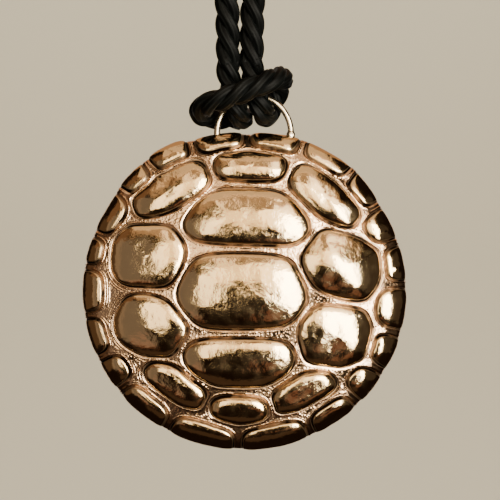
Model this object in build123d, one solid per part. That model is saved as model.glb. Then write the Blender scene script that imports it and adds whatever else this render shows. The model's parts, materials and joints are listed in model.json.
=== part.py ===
"""Pendant necklace, in millimetres.

A domed cast brass medallion with a tortoise-shell relief hangs by its soldered wire bail from a lark's
head knot in a doubled twisted cord. The cord's two sides run up from the knot, part to go round the
neck and meet in a plain metal sleeve at the nape. +Z is up, +X is to the wearer's left as seen from the
front, and the face looks along -Y. The origin is the underside of the sleeve, where the necklace hangs.
"""
from build123d import *
import math
import os

# Medallion
MEDALLION_WIDTH = 60.0
MEDALLION_HEIGHT = 58.5
CROWN_RADIUS = 89.0  # sphere of the flat middle of the dome
RIM_RADIUS = 5.0  # arc that turns the dome down into its side
SIDE_WALL = 1.0  # straight side behind the rim arc
CAST_WALL = 1.7  # thickness of the casting between the plates
PLATE_RELIEF = 1.2  # height of the large plates over the bands between them
RIM_RELIEF = 0.7  # height of the small plates round the rim
WEB_WIDTH = 0.95  # band between two plates
BACK_BAND = 0.45  # plain band between the rim plates and the back edge
SHOULDER = 0.8  # share of a plate's half width over which it rises
RELIEF_RINGS = 40  # rings of facets on the relief side
BACK_RINGS = 14  # rings of facets on the hollow side
EDGE_REACH = 0.36  # share of the rings' spacing from which a facet's corner moves onto a plate's edge

# Bail
BAIL_WIRE = 1.1
BAIL_LEAN = 3.4  # degrees, clockwise from the top of the medallion
BAIL_DEPTH = 2.8  # bail's plane in front of the medallion's back
BAIL_ROOT = 1.1  # how far the legs reach into the casting
SOLDER_BEAD = 1.5  # diameter of the drop of solder at the foot of one leg

# Cord
CORD_DIAMETER = 4.4
CORD_GAP = 0.1  # between the two sides where they hang together
KNOT_TIGHTEN = 0.2  # how much thinner the cord is pulled inside the knot
KNOT_TO_RIM = 0.65  # between the knot's underside and the bail's centre
NECK_DROP = 252.0  # nape to the top of the knot
ARC_SHARE = 0.45  # share of the shorter run that each of the cord's arcs takes

# Sleeve at the nape
SLEEVE_LENGTH = 14.0
SLEEVE_WALL = 0.6
SLEEVE_FIT = 0.15  # between the cord and the sleeve's bore
CORD_END_GAP = 1.0  # between the cord's two ends inside the sleeve
SLEEVE_TO_BEND = 7.0  # from the sleeve's mouth to the first bend of the cord

# Fits that follow from the sizes above
half_width = MEDALLION_WIDTH / 2
height_ratio = MEDALLION_HEIGHT / MEDALLION_WIDTH
cord_pitch = CORD_DIAMETER + CORD_GAP
knot_cord = CORD_DIAMETER - KNOT_TIGHTEN
sleeve_outer = CORD_DIAMETER / 2 + SLEEVE_FIT + SLEEVE_WALL

# The large plates of the shell, in hundredths of the medallion's half width: centre, half length, half
# width; the length's tilt in degrees, anticlockwise; and how square the outline is (2 is an ellipse).
PLATES = [
    # name, centre x, centre z, half length, half width, tilt, squareness
    ("nuchal", 3.4, 78.9, 24.0, 11.1, -2, 2.8),
    ("upper", 1.5, 47.0, 38.2, 18.8, -2, 3.0),
    ("heart", -1.8, 0.3, 40.6, 24.6, 0, 2.8),
    ("lower", -3.4, -44.5, 34.5, 16.6, 0, 2.7),
    ("tail", -2.8, -74.1, 19.7, 10.2, -4, 2.5),
    ("left_1", -45.2, 64.4, 27.1, 13.5, 28, 2.8),
    ("left_2", -58.8, 22.4, 24.0, 20.9, 0, 2.6),
    ("left_3", -56.9, -21.5, 23.4, 19.7, -25, 2.6),
    ("left_4", -41.5, -58.0, 22.2, 11.1, -33, 2.6),
    ("right_1", 48.9, 59.6, 27.1, 12.9, -40, 2.8),
    ("right_2", 59.7, 16.7, 26.5, 21.5, -25, 2.7),
    ("right_3", 55.4, -27.8, 24.0, 20.9, 0, 2.7),
    ("right_4", 35.4, -62.1, 22.2, 11.1, 26, 2.6),
]

# The small plates round the rim: where each one ends, in degrees clockwise from the top, and how far
# out its inner edge lies, in hundredths of the medallion's half width.
RIM_PLATES = [
    # end angle, inner edge
    (1.0, 87.5), (21.2, 89.5), (41.2, 93.0), (56.5, 92.0), (71.5, 85.0), (87.3, 88.0), (105.7, 83.0),
    (120.7, 86.0), (135.3, 84.5), (155.1, 86.0), (182.4, 84.0), (209.3, 85.0), (231.1, 86.0),
    (244.8, 81.0), (261.2, 86.0), (279.4, 81.0), (291.7, 86.0), (309.5, 83.0), (323.4, 88.0),
    (340.6, 89.0),
]
RIM_SQUARENESS = 3.0

# The cord's way through the knot, from one hanging side to the other, in pitches of the cord: x from
# the middle between the two sides, y from the bail's plane, z from the top of the bail.
KNOT_ROUTE = [
    # x, y, z
    (-0.50, -0.77, 1.43),
    (-0.50, -0.77, 0.48),
    (-0.02, -0.96, -0.90),
    (-0.02, 0.93, -0.90),
    (-1.60, 0.93, -0.85),
    (-1.60, -1.04, -0.48),
    (-0.76, -1.87, -0.26),
    (0.96, -1.93, 0.41),
    (1.71, -1.02, 0.76),
    (1.71, 0.91, 0.56),
    (1.16, 0.93, -0.88),
    (1.04, -0.96, -0.88),
    (0.50, -0.77, 0.48),
    (0.50, -0.77, 1.43),
]
BAIL_SHIFT = 0.573  # the bail's top from the middle between the cord's sides, in pitches of the cord

# One side of the neck cord, from the sleeve down to the knot, in hundredths of NECK_DROP.
NECK_ROUTE = [
    # x, z
    (10.5, -0.4),
    (18.2, -5.2),
    (23.2, -13.6),
    (24.6, -24.0),
    (22.6, -35.6),
    (18.4, -48.0),
    (13.2, -60.8),
    (7.8, -73.4),
    (3.4, -84.4),
]
PARALLEL_STRETCH = 24.0  # how far up from the knot the two sides hang together


def dome():
    """The medallion's side view: radii and depths of the crown, the rim's arc and the side wall."""
    web_radius = half_width - RIM_RELIEF
    crown_edge = (web_radius - RIM_RADIUS) / (1 - RIM_RADIUS / CROWN_RADIUS)
    slope = math.asin(crown_edge / CROWN_RADIUS)
    crown_length = CROWN_RADIUS * slope
    rim_length = RIM_RADIUS * (math.pi / 2 - slope)
    return {
        "web_radius": web_radius,
        "slope": slope,
        "rim_centre": crown_edge - RIM_RADIUS * math.sin(slope),
        "rim_depth": CROWN_RADIUS * (1 - math.cos(slope)) + RIM_RADIUS * math.cos(slope),
        "crown_length": crown_length,
        "rim_end": crown_length + rim_length,
        "length": crown_length + rim_length + SIDE_WALL,
    }


DOME = dome()
dome_depth = DOME["rim_depth"] + SIDE_WALL


def dome_point(run):
    """Radius, depth under the apex and slope of the dome at a distance along it from the apex."""
    if run < DOME["crown_length"]:
        angle = run / CROWN_RADIUS
        return CROWN_RADIUS * math.sin(angle), CROWN_RADIUS * (1 - math.cos(angle)), angle
    if run < DOME["rim_end"]:
        angle = DOME["slope"] + (run - DOME["crown_length"]) / RIM_RADIUS
        radius = DOME["rim_centre"] + RIM_RADIUS * math.sin(angle)
        return radius, DOME["rim_depth"] - RIM_RADIUS * math.cos(angle), angle
    return DOME["web_radius"], DOME["rim_depth"] + run - DOME["rim_end"], math.pi / 2


def dome_run(radius):
    """Distance along the dome from the apex at a radius."""
    if radius < CROWN_RADIUS * math.sin(DOME["slope"]):
        return CROWN_RADIUS * math.asin(radius / CROWN_RADIUS)
    angle = math.asin(min(1, (radius - DOME["rim_centre"]) / RIM_RADIUS))
    return DOME["crown_length"] + RIM_RADIUS * (angle - DOME["slope"])


def plate_outlines():
    """Every plate on the unrolled dome: centre, half sizes, tilt, squareness and relief."""
    plates = []
    share = half_width / 100
    for _, x, z, half_length, half_breadth, tilt, squareness in PLATES:
        out = math.hypot(x, z) * share
        stretch = dome_run(out) / out
        plates.append({
            "centre": (x * share * stretch, z * share * stretch),
            "half": (half_length * share, half_breadth * share),
            "tilt": math.radians(tilt),
            "squareness": squareness,
            "relief": PLATE_RELIEF,
        })
    start = RIM_PLATES[-1][0] - 360
    for end, inner in RIM_PLATES:
        near = dome_run(inner * share)
        far = DOME["length"] - BACK_BAND
        middle = math.radians((start + end) / 2)
        run = (near + far) / 2
        plates.append({
            "centre": (middle, run),
            "half": (math.radians((end - start) / 2) * run - WEB_WIDTH / 2, (far - near) / 2),
            "tilt": None,
            "squareness": RIM_SQUARENESS,
            "relief": RIM_RELIEF,
        })
        start = end
    return plates


OUTLINES = plate_outlines()


def distance_outside(plate, x, z):
    """How far a point of the unrolled dome lies outside a plate's outline, negative inside it."""
    if plate["tilt"] is None:
        run = math.hypot(x, z)
        turn = (math.atan2(x, z) - plate["centre"][0] + math.pi) % (2 * math.pi) - math.pi
        along, across = turn * plate["centre"][1], run - plate["centre"][1]
    else:
        dx, dz = x - plate["centre"][0], z - plate["centre"][1]
        cos, sin = math.cos(plate["tilt"]), math.sin(plate["tilt"])
        along, across = dx * cos + dz * sin, dz * cos - dx * sin
    power = plate["squareness"]
    u, v = abs(along / plate["half"][0]), abs(across / plate["half"][1])
    level = max((u ** power + v ** power) ** (1 / power), 1e-6)
    grade = math.hypot(u ** (power - 1) / plate["half"][0], v ** (power - 1) / plate["half"][1])
    return (level - 1) * level ** (power - 1) / max(grade, 1e-6)


def plate_at(x, z):
    """The plate nearest to a point of the unrolled dome, and how far inside its edge the point lies."""
    ranked = sorted((distance_outside(plate, x, z), index) for index, plate in enumerate(OUTLINES))
    (nearest, index), (second, _) = ranked[0], ranked[1]
    return OUTLINES[index], min(-nearest, (second - nearest) / 2 - WEB_WIDTH / 2)


def on_edge(x, z, reach):
    """Moves a point that is close to a plate's edge onto it, so that facets follow the outlines."""
    step = 0.02
    least_steep = 0.25
    inside = plate_at(x, z)[1]
    if abs(inside) > reach:
        return x, z
    grade_x = (plate_at(x + step, z)[1] - inside) / step
    grade_z = (plate_at(x, z + step)[1] - inside) / step
    steep = max(grade_x ** 2 + grade_z ** 2, least_steep)
    return x - inside * grade_x / steep, z - inside * grade_z / steep


def relief(x, z):
    """Height of the casting over the bands at a point of the unrolled dome."""
    plate, inside = plate_at(x, z)
    if inside <= 0:
        return 0.0
    below_top = 1 - min(inside / (SHOULDER * min(plate["half"])), 1)
    return plate["relief"] * math.sqrt(1 - below_top ** 2)


def dome_vertex(x, z, height):
    """A point in space, from a point of the unrolled dome and a height along the dome's normal."""
    run = math.hypot(x, z)
    radius, depth, slope = dome_point(min(run, DOME["length"]))
    turn = math.atan2(x, z)
    out = radius + height * math.sin(slope)
    front = dome_depth - depth + height * math.cos(slope)
    return out * math.sin(turn), -front, out * math.cos(turn) * height_ratio


def ring_points(rings, height_at, snap):
    """Points of a disc of hexagonal rings, the middle first; the last ring stays on the back edge."""
    spacing = DOME["length"] / rings
    points = [dome_vertex(0, 0, height_at(0, 0))]
    for ring in range(1, rings + 1):
        for step in range(6 * ring):
            turn = 2 * math.pi * step / (6 * ring)
            x, z = ring * spacing * math.sin(turn), ring * spacing * math.cos(turn)
            if ring == rings:
                points.append(dome_vertex(x, z, height_at(None, None)))
                continue
            if snap and ring < rings - 1:
                x, z = on_edge(x, z, EDGE_REACH * spacing)
            points.append(dome_vertex(x, z, height_at(x, z)))
    return points


def ring_triangles(rings):
    """Corner numbers of the triangles between the rings of ring_points."""
    first = [0] + [1 + 3 * ring * (ring - 1) for ring in range(1, rings + 1)]
    triangles = []
    for ring in range(1, rings + 1):
        for side in range(6):
            for step in range(ring):
                outer = first[ring] + (side * ring + step) % (6 * ring)
                after = first[ring] + (side * ring + step + 1) % (6 * ring)
                inner_count = max(6 * (ring - 1), 1)
                inner = first[ring - 1] + (side * (ring - 1) + step) % inner_count
                triangles.append((outer, after, inner))
                if step < ring - 1:
                    beside = first[ring - 1] + (side * (ring - 1) + step + 1) % inner_count
                    triangles.append((inner, after, beside))
    return triangles


def facets(points, triangles):
    """A flat face for each triangle."""
    return [Face(Wire.make_polygon([points[i] for i in corners], close=True)) for corners in triangles]


def casting():
    """The hollow casting: relief in front, a smooth hollow behind and a flat edge between them."""
    front = ring_points(RELIEF_RINGS, lambda x, z: 0.0 if x is None else relief(x, z), snap=True)
    back = ring_points(BACK_RINGS, lambda x, z: -CAST_WALL, snap=False)
    faces = facets(front, ring_triangles(RELIEF_RINGS)) + facets(back, ring_triangles(BACK_RINGS))
    outer = Wire.make_polygon(front[-6 * RELIEF_RINGS:], close=True)
    inner = Wire.make_polygon(back[-6 * BACK_RINGS:], close=True)
    faces.append(Face(outer, [inner]))
    return Solid(Shell(faces))


def bail(radius):
    """The wire half ring with its legs, and the drop of solder, round its own centre."""
    lean = math.radians(BAIL_LEAN)
    centre = Vector(math.sin(lean) * DOME["web_radius"], 0, 0)
    top = MEDALLION_HEIGHT / 2

    def leg_end(x):
        return math.sqrt(DOME["web_radius"] ** 2 - x ** 2) * height_ratio - BAIL_ROOT

    left, right = centre.X - radius, centre.X + radius
    y = -BAIL_DEPTH
    path = Wire([
        Line((left, y, leg_end(left)), (left, y, top)),
        ThreePointArc((left, y, top), (centre.X, y, top + radius), (right, y, top)),
        Line((right, y, top), (right, y, leg_end(right))),
    ])
    wire = sweep(Plane((left, y, leg_end(left)), z_dir=(0, 0, 1)) * Circle(BAIL_WIRE / 2), path=path)
    foot = leg_end(right) + BAIL_ROOT + SOLDER_BEAD / 4
    drop = Pos(right, y, foot) * Sphere(SOLDER_BEAD / 2)
    return centre.X, wire, drop


def cord_tube(points, diameter, name):
    """A round cord along straight runs joined by tangent arcs as large as the runs allow."""
    corners = [Vector(*point) for point in points]
    radii = []
    for before, corner, after in zip(corners, corners[1:], corners[2:]):
        turn = math.radians((corner - before).get_angle(after - corner))
        shorter = min((corner - before).length, (after - corner).length)
        radii.append(ARC_SHARE * shorter / math.tan(turn / 2))
    path = FilletPolyline(*corners, radius=radii)
    start = Plane(corners[0], z_dir=corners[1] - corners[0])
    tube = sweep(start * Circle(diameter / 2), path=path)
    print(name, "arc radii", [round(radius, 1) for radius in radii], "length", round(path.length, 1))
    print(name, "volume over section times length", round(
        tube.volume / (math.pi * diameter ** 2 / 4 * path.length), 4))
    return tube


def sleeve():
    """The plain sleeve that holds the cord's two ends at the nape."""
    across = Plane((-SLEEVE_LENGTH / 2, 0, sleeve_outer), z_dir=(1, 0, 0))
    shape = across * Circle(sleeve_outer) - across * Circle(CORD_DIAMETER / 2 + SLEEVE_FIT)
    return extrude(shape, SLEEVE_LENGTH)


def knot_point(x, y, z, top_z, plane_y):
    """A point of KNOT_ROUTE in millimetres."""
    return x * cord_pitch, plane_y + y * cord_pitch, top_z + z * cord_pitch


def neck_points(side):
    """The route of one side of the neck cord; side is -1 for left and 1 for right."""
    share = NECK_DROP / 100
    mouth = SLEEVE_LENGTH / 2 + SLEEVE_TO_BEND
    points = [(side * CORD_END_GAP / 2, 0, sleeve_outer), (side * mouth, 0, sleeve_outer)]
    points += [(side * x * share, 0, z * share) for x, z in NECK_ROUTE]
    points += [(side * cord_pitch / 2, 0, -NECK_DROP + PARALLEL_STRETCH), (side * cord_pitch / 2, 0, -NECK_DROP)]
    return points


def main():
    os.makedirs("parts", exist_ok=True)

    knot_low = min(z for _, _, z in KNOT_ROUTE) * cord_pitch - knot_cord / 2
    bail_radius = KNOT_TO_RIM - knot_low
    bail_y = -KNOT_ROUTE[0][1] * cord_pitch
    top_z = -NECK_DROP - KNOT_ROUTE[0][2] * cord_pitch

    bail_x, wire, drop = bail(bail_radius)
    place = Pos(BAIL_SHIFT * cord_pitch - bail_x, bail_y + BAIL_DEPTH, top_z - bail_radius - MEDALLION_HEIGHT / 2)
    medallion = place * (casting() + wire + drop)

    route = [knot_point(*point, top_z, bail_y) for point in KNOT_ROUTE]
    pieces = {
        "medallion": medallion,
        "knot": cord_tube(route, knot_cord, "knot"),
        "cord_left": cord_tube(neck_points(-1), CORD_DIAMETER, "cord_left"),
        "cord_right": cord_tube(neck_points(1), CORD_DIAMETER, "cord_right"),
        "nape_sleeve": sleeve(),
    }
    for name, piece in pieces.items():
        export_step(piece, f"parts/{name}.step")
    print("swing axis", BAIL_SHIFT * cord_pitch, bail_y, top_z, "bail radius", bail_radius)
    print("medallion centre of mass", medallion.center(CenterOf.MASS))


main()
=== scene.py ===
"""Pendant necklace: a gilt cast medallion with a tortoise-shell relief on a twisted black cord.

Laid out as a Blender add-on and run as a script. Every object is in metres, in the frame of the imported
model: +Z is up, the medallion's face looks along -Y, and the origin is the underside of the sleeve at
the nape. The medallion's relief and the cord's strands are meshes made here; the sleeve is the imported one.
"""
import json
import math

import bmesh
import bpy
import numpy as np
from bpy.props import FloatProperty, FloatVectorProperty, IntProperty, PointerProperty
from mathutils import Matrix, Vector, noise


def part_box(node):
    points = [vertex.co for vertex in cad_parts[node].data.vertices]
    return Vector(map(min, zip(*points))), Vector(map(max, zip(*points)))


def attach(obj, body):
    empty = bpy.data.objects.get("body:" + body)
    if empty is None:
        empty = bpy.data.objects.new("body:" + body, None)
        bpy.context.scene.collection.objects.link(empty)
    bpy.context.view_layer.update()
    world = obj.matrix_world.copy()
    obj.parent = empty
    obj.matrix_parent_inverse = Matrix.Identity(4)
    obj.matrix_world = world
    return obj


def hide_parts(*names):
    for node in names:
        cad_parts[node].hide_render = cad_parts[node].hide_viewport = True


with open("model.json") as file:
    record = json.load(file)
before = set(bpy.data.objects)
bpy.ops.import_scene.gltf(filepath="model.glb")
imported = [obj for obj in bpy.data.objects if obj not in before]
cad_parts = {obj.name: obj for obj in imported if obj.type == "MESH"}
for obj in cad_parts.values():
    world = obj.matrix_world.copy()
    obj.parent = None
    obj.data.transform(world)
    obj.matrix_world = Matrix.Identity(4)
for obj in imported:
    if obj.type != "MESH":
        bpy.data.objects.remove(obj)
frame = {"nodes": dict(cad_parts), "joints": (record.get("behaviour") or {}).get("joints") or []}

bl_info = {
    "name": "Tortoise-shell pendant",
    "version": (1, 0, 0),
    "blender": (4, 5, 0),
    "location": "View3D > Sidebar > Pendant",
    "description": "Makes a cast medallion, its bail and its twisted cord around the packed model",
    "category": "Add Mesh",
}

MM = 0.001
PHOTO_PIXELS = 500
SWING = frame["joints"][0]
BAIL_TOP = Vector(SWING["pos_m"])

# The large plates of the shell, in hundredths of the medallion's half width: centre, half length, half
# width; the length's tilt in degrees, anticlockwise; how square the outline is (2 is an ellipse); and
# by what share the upper long side is shorter than the middle.
PLATES = [
    # name, centre x, centre z, half length, half width, tilt, squareness, taper
    ("nuchal", 3.4, 78.9, 24.3, 11.3, -2, 2.8, 0.0),
    ("upper", 1.8, 47.0, 37.4, 18.8, -2, 2.9, 0.24),
    ("heart", -1.8, 0.3, 40.6, 24.6, 0, 2.8, 0.04),
    ("lower", -3.4, -44.5, 34.8, 16.6, 0, 2.7, -0.16),
    ("tail", -2.8, -74.1, 19.7, 10.2, -4, 2.5, -0.1),
    ("left_1", -45.2, 64.4, 27.1, 13.5, 28, 2.8, 0.0),
    ("left_2", -58.8, 22.4, 24.0, 20.9, 0, 2.6, 0.0),
    ("left_3", -56.9, -21.5, 23.4, 19.7, -25, 2.6, 0.0),
    ("left_4", -41.5, -58.0, 22.2, 11.1, -33, 2.6, 0.0),
    ("right_1", 48.9, 59.6, 27.1, 12.9, -40, 2.8, 0.0),
    ("right_2", 59.7, 16.7, 26.5, 21.5, -25, 2.7, 0.0),
    ("right_3", 55.4, -27.8, 24.0, 20.9, 0, 2.7, 0.0),
    ("right_4", 35.4, -62.1, 22.2, 11.1, 26, 2.6, 0.1),
]

# The small plates round the rim: where each one ends, in degrees clockwise from the top, how far out its
# inner edge lies, in hundredths of the medallion's half width, and how proud it stands, in millimetres.
RIM_PLATES = [
    # end angle, inner edge, relief
    (1.0, 87.5, 1.0),
    (21.2, 89.0, 1.1),
    (41.2, 91.0, 0.7),
    (56.5, 88.5, 0.7),
    (71.5, 82.0, 0.7),
    (87.3, 85.0, 0.7),
    (105.7, 80.0, 0.7),
    (120.7, 83.0, 0.7),
    (135.3, 81.5, 0.7),
    (155.1, 86.0, 0.7),
    (182.4, 84.0, 0.7),
    (209.3, 85.0, 0.7),
    (231.1, 86.0, 0.7),
    (244.8, 84.5, 0.7),
    (261.2, 88.5, 0.7),
    (279.4, 86.5, 0.7),
    (291.7, 89.5, 0.7),
    (309.5, 86.5, 0.7),
    (323.4, 88.0, 0.8),
    (340.6, 89.0, 1.3),
]
RIM_SQUARENESS = 3.0

# Pits and swellings left by the casting, in millimetres from the medallion's centre.
FLAWS = [
    # x, z, radius, height
    (1.6, 11.2, 0.6, -0.05),
    (-1.6, 11.4, 0.5, -0.05),
    (4.4, 11.0, 0.5, -0.05),
    (-5.4, 17.2, 0.8, 0.08),
    (0.8, 18.6, 1.0, -0.10),
    (6.6, 16.9, 0.9, -0.09),
    (-7.0, 4.6, 1.2, -0.06),
    (-5.6, -1.0, 1.0, -0.05),
    (-8.2, 3.0, 1.0, 0.07),
    (-18.4, 8.6, 1.6, -0.10),
    (-14.2, 3.6, 1.0, -0.10),
    (17.0, 9.6, 1.2, -0.10),
    (15.8, 2.0, 1.4, -0.09),
    (15.4, -9.8, 1.7, -0.08),
    (12.9, -7.6, 0.9, -0.09),
    (-17.8, -7.0, 1.5, 0.08),
    (-3.0, -13.4, 1.5, -0.09),
    (26.2, 11.0, 0.5, 0.20),
    (28.2, 4.2, 0.5, 0.20),
    (15.6, 6.6, 3.3, 0.30),
    (18.6, 4.0, 3.4, 0.34),
    (21.4, 0.8, 3.2, 0.30),
    (21.4, -8.6, 3.8, 0.24),
    (19.8, -12.0, 2.6, 0.14),
]

# Where the bands were left grainy by the casting, in millimetres from the medallion's centre.
GRAINY_SPOTS = [
    # x, z, radius
    (6.3, -7.2, 3.6),
    (14.1, -1.0, 2.6),
    (3.7, -18.3, 1.3),
    (9.6, -13.7, 1.7),
    (-8.5, -6.3, 1.9),
    (-11.4, -11.2, 1.6),
    (18.5, -15.6, 1.8),
    (11.6, -22.6, 1.3),
    (27.0, 1.5, 1.4),
    (12.6, 10.9, 1.0),
    (-20.8, -12.6, 1.2),
]

# Where the bands have fine ridges beside the plates, in millimetres from the medallion's centre.
RIDGED_SPOTS = [
    # x, z, radius
    (-16.4, 22.4, 2.4),
    (-21.6, 15.2, 3.0),
    (-25.8, 8.0, 3.4),
    (-25.4, 0.3, 3.4),
    (-24.8, -8.0, 3.4),
    (-20.3, -14.6, 2.8),
    (-17.0, -20.2, 3.4),
    (-7.2, -25.2, 4.6),
    (5.4, -25.2, 5.0),
    (16.4, -20.1, 4.0),
    (-8.6, 26.4, 1.8),
    (26.8, 0.6, 1.6),
]

# The cord's way through the knot, from one hanging side to the other, in pitches of the cord: x from
# the middle between the two sides, y from the bail's plane, z from the top of the bail.
KNOT_ROUTE = [
    # x, y, z
    (-0.50, -0.77, 1.43),
    (-0.50, -0.77, 0.48),
    (0.02, -0.96, -0.90),
    (0.17, 0.93, -0.90),
    (-1.60, 0.93, -0.85),
    (-1.60, -1.04, -0.48),
    (-0.76, -1.87, -0.26),
    (0.96, -1.93, 0.41),
    (1.71, -1.02, 0.76),
    (1.71, 0.91, 0.56),
    (1.12, 0.93, -0.84),
    (0.98, -0.96, -0.80),
    (0.50, -0.77, 0.48),
    (0.50, -0.77, 1.43),
]

# How much thinner the strands are at their hidden ends.
END_TUCK = 0.1 * MM

# How far apart the rings of points are along the cord.
NECK_STEP = 0.35 * MM
KNOT_STEP = 0.25 * MM

# One side of the neck cord, from the sleeve down to the knot, in hundredths of its drop.
NECK_ROUTE = [
    # x, z
    (10.5, -0.4),
    (18.2, -5.2),
    (23.2, -13.6),
    (24.6, -24.0),
    (22.6, -35.6),
    (18.4, -48.0),
    (13.2, -60.8),
    (7.8, -73.4),
    (3.4, -84.4),
]

# Where the rim bulges: middle in degrees clockwise from the top, and half the bulge's length in degrees.
RIM_SWELLS = [(325, 17), (33, 19)]

# Where the bands rise towards the rim: from so far before the back edge, over such a length.
BANDS_RISE_FROM = 5.5 * MM
BANDS_RISE_OVER = 3 * MM

# Low on the shell a plate's lower side has no raised line, and the plates are flatter: how far below the
# medallion's middle that starts, and over what height it comes about.
LINES_END = (5 * MM, 6 * MM)
FLATTER_PLATES = (10 * MM, 8 * MM)

# How uneven the casting is: how wide the lumps are, and which layer of the noise they are read from.
LINE_LUMPS = (2.2 * MM, 3.0)
GRAIN_LUMPS = (0.42 * MM, 5.0)
HOLLOW_LUMPS = (1.6 * MM, 11.0)

# Soft swellings in the polished plates.
WAVES = [
    # share, width, layer of the noise
    (0.7, 6.5 * MM, 7.0),
    (0.45, 2.6 * MM, 9.0),
]

# The mesh is halved round the plates' edges, from so far outside them to so far inside, in millimetres.
REFINED = [(-0.72, 0.5), (-0.42, 0.12)]

# Points of the mesh that are this close to a plate's edge are moved onto it.
EDGE_SNAP = 0.036 * MM

# The points of the hollow side count as this far outside the plates, in millimetres.
FAR_OUTSIDE = -3.0

# Lamps round the pendant: direction from it in degrees (azimuth 0 is the camera's side, positive to the
# right; elevation above the level), distance and size in metres, colour and power in watts.
LAMPS = [
    # name, azimuth, elevation, distance, width, height, colour, watts
    ("window", 28, 4, 1.5, 0.66, 0.92, "#FFF9EA", 34),
    ("window_low", 34, -17, 1.5, 0.36, 0.36, "#FFF4E0", 6.5),
    ("window_side", 20, 14, 1.6, 0.86, 0.86, "#FFEAC4", 7.4),
    ("room_wall", -1, 16, 1.6, 0.50, 0.66, "#FFE0B0", 2.3),
    ("left_window", -15, 5, 1.5, 0.36, 0.84, "#FFECC8", 3.3),
    ("left_wall", -44, -4, 1.5, 1.1, 1.6, "#F8E6D8", 1.1),
    ("left_far", -84, -2, 1.5, 1.9, 1.6, "#FFCFA8", 0.8),
    ("upper_wall", 4, 42, 1.5, 2.0, 0.56, "#FFD2A8", 1.8),
    ("pane_left", -10, 35, 1.4, 0.20, 0.42, "#FFE6C6", 0.5),
    ("pane_right", 26, 34, 1.4, 0.46, 0.40, "#FFEED6", 1.7),
    ("ceiling", 0, 74, 1.5, 1.8, 1.4, "#FFDDB8", 7.2),
    ("top_wall", 180, 54, 1.5, 1.8, 1.5, "#F8C498", 4.9),
    ("upper_left", -64, 38, 1.5, 1.0, 0.8, "#F0B890", 0.5),
    ("right_far", 76, 0, 1.5, 1.6, 1.6, "#F0DCC8", 0.42),
    ("table", -10, -60, 1.5, 1.7, 0.8, "#FFD0B0", 0.2),
    ("low_middle", 12, -24, 1.5, 0.34, 0.30, "#FFB094", 0.055),
    ("low_left", -34, -30, 1.5, 0.40, 0.30, "#FFAC8C", 0.05),
    ("low_right", 36, -40, 1.5, 0.50, 0.26, "#FFB496", 0.07),
    ("rear", 181, 3, 1.7, 1.9, 1.5, "#FFF2E2", 8),
]

# Lamps that light only the plain studio, from its wall's middle: they aren't mirrored in the metal.
COVE_LAMPS = [
    # name, azimuth, elevation, distance, width, height, watts
    ("wall_wash", 0, 50, 2.4, 2.6, 0.8, 72),
    ("floor_wash", 0, 88, 3.2, 4.0, 2.5, 125),
]
COVE_MIDDLE = Vector((0, 3, -0.5))


def length(name, description, millimetres):
    """A property for a length, with its default in millimetres."""
    return FloatProperty(name=name, description=description, default=millimetres * MM, unit="LENGTH")


class MedallionSizes(bpy.types.PropertyGroup):
    """Sizes of the cast medallion."""

    width: length("Width", "Across the rim plates", 60)
    height: length("Height", "From top to bottom", 58.5)
    crown_radius: length("Crown radius", "Sphere of the dome's flat middle", 89)
    rim_radius: length("Rim radius", "Arc that turns the dome into its side", 4)
    side_wall: length("Side wall", "Straight side behind the rim arc", 1.75)
    cast_wall: length("Wall", "Thickness of the casting between the plates", 1.7)
    plate_relief: length("Plate relief", "Height of the large plates", 1.2)
    rim_relief: length("Rim relief", "Room for the rim plates inside the medallion's width", 0.7)
    rim_lift: length("Rim lift", "How much prouder the bands are at the rim", 0.4)
    rim_swell: length("Rim swell", "How far the rim bulges at the upper left and right", 0.72)
    shoulder: FloatProperty(
        name="Shoulder", description="Share of a plate's half width over which it rises", default=0.8,
        min=0.1, max=1, subtype="FACTOR")
    low_shoulder: FloatProperty(
        name="Low shoulder", description="The same for the flatter plates near the bottom", default=0.5,
        min=0.1, max=1, subtype="FACTOR")
    web_width: length("Band", "Band between two plates", 0.95)
    corner: length("Corner", "How soft the plates' corners are", 0.35)
    corner_growth: FloatProperty(
        name="Corner growth", description="How much softer the corners get towards a plate's middle",
        default=0.2, min=0, max=1, subtype="FACTOR")
    back_band: length("Back band", "Plain band behind the rim plates", 0.45)
    groove_depth: length("Groove depth", "Groove at the foot of each plate", 0.19)
    groove_width: length("Groove width", "Half width of that groove", 0.15)
    line_height: length("Line height", "Fine raised line round each plate", 0.13)
    line_offset: length("Line offset", "From a plate's edge to its line", 0.44)
    line_width: length("Line width", "Half width of that line", 0.10)
    plate_waves: length("Plate waves", "How uneven the polished plates are", 0.10)
    web_grain: length("Band grain", "Casting grain in the bands", 0.05)
    rings: IntProperty(name="Rings", description="Rings of the front mesh before it is refined", default=78)
    back_rings: IntProperty(name="Back rings", description="Rings of the hollow side", default=14)


class BailSizes(bpy.types.PropertyGroup):
    """Sizes of the wire bail."""

    wire: length("Wire", "Diameter of the wire", 1.1)
    radius: length("Radius", "Half ring, to the wire's centre", 6.8)
    lean: FloatProperty(
        name="Lean", description="Clockwise from the medallion's top", default=math.radians(3.4),
        subtype="ANGLE")
    depth: length("Depth", "In front of the medallion's back", 2.8)
    root: length("Root", "How far the legs reach into the casting", 1.1)
    bead: length("Solder drop", "Diameter of the drop at one foot", 1.6)
    bead_stretch: FloatProperty(
        name="Drop stretch", description="How much longer the drop is along the wire", default=1.25,
        min=1, max=2, subtype="FACTOR")


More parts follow.
